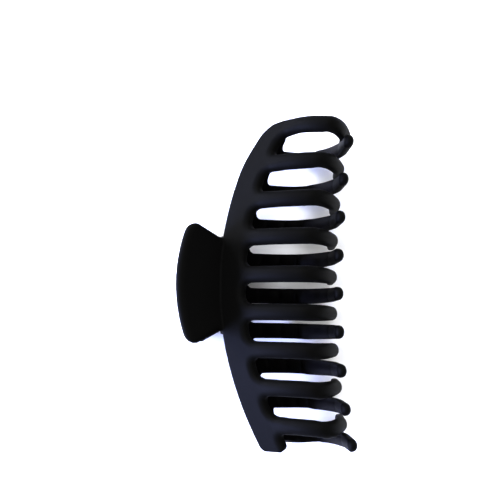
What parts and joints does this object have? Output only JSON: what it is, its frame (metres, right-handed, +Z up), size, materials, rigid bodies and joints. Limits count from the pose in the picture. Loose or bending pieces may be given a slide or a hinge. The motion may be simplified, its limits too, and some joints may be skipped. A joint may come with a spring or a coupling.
{
  "type": "claw clip",
  "caption": "Large hair claw clip: interlocking curved toothed jaws on a hinge pin, held shut by a torsion spring and opened by flared thumb tabs.",
  "frame": {"origin": "centre of the bounding box's base, on the surface that the clip lies on with its rear jaw down", "axes": "+X from the thumb tabs to the tooth tips, +Y along the hinge pin to the front jaw's arched end tooth, +Z up through the front jaw"},
  "size_m": [0.0644, 0.1208, 0.0499],
  "materials": {
    "soft_touch_black": "matte soft-touch coating",
    "pin_steel": "drawn wire",
    "spring_steel": "spring wire"
  },
  "bodies": {
    "rear_half": {"rear_jaw": "soft_touch_black", "hinge_pin": "pin_steel", "torsion_spring": "spring_steel"},
    "front_half": {"front_jaw": "soft_touch_black"}
  },
  "joints": [
    {"name": "jaw_hinge", "type": "hinge", "parent": "rear_half", "child": "front_half", "pos_m": [-0.01268, 0, 0.02496], "axis": [0, -1, 0], "range_deg": [0, 85], "stiffness_Nm_per_rad": 0.12, "springref_deg": -68.75, "deforming": ["torsion_spring"]}
  ]
}
